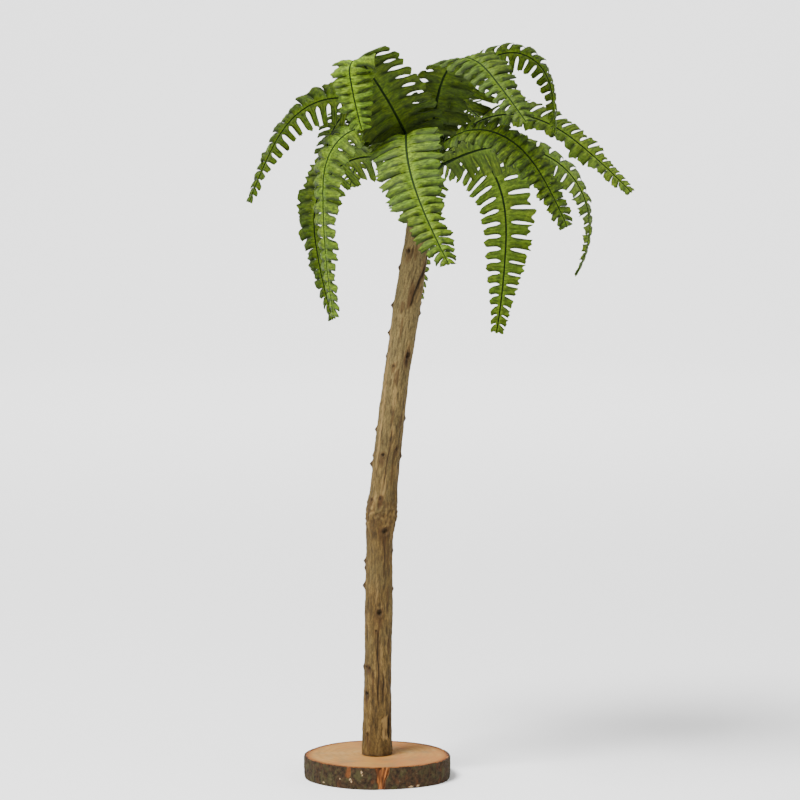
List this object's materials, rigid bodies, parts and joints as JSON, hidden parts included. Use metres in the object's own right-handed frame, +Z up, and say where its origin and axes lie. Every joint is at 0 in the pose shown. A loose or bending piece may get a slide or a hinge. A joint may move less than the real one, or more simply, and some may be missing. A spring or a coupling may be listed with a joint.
{
  "type": "model palm tree",
  "caption": "Small decorative palm: a leaning branch for a trunk, on a round bark-edged slice of wood, with a crown of arching wired cloth fern fronds.",
  "frame": {"origin": "centre of the slice's flat underside, which it stands on", "axes": "+Z up the trunk, -Y towards the viewer, +X the way that the trunk leans"},
  "size_m": [0.1854, 0.1573, 0.3497],
  "materials": {
    "slice_wood": "sanded end grain, with a rough dark bark edge",
    "branch_bark": "dry branch, streaked along its length, matte",
    "leaf_cloth": "dyed and embossed cloth, matte"
  },
  "bodies": {
    "root": {"base_slice": "slice_wood", "trunk": "branch_bark", "frond_back_high_left_inner": "leaf_cloth", "frond_back_high_left_outer": "leaf_cloth", "frond_back_high_right_inner": "leaf_cloth", "frond_back_high_right_outer": "leaf_cloth", "frond_back_inner": "leaf_cloth", "frond_back_left_inner": "leaf_cloth", "frond_back_left_outer": "leaf_cloth", "frond_back_low_left_inner": "leaf_cloth", "frond_back_low_left_outer": "leaf_cloth", "frond_back_outer": "leaf_cloth", "frond_back_right_inner": "leaf_cloth", "frond_back_right_outer": "leaf_cloth", "frond_far_right_inner": "leaf_cloth", "frond_far_right_outer": "leaf_cloth", "frond_front_inner": "leaf_cloth", "frond_front_left_inner": "leaf_cloth", "frond_front_left_outer": "leaf_cloth", "frond_front_outer": "leaf_cloth", "frond_front_right_inner": "leaf_cloth", "frond_front_right_outer": "leaf_cloth", "frond_high_left_inner": "leaf_cloth", "frond_high_left_outer": "leaf_cloth", "frond_high_right_inner": "leaf_cloth", "frond_high_right_outer": "leaf_cloth", "frond_left_inner": "leaf_cloth", "frond_left_outer": "leaf_cloth", "frond_right_inner": "leaf_cloth", "frond_right_outer": "leaf_cloth", "frond_top_right_inner": "leaf_cloth", "frond_top_right_outer": "leaf_cloth"}
  },
  "joints": []
}
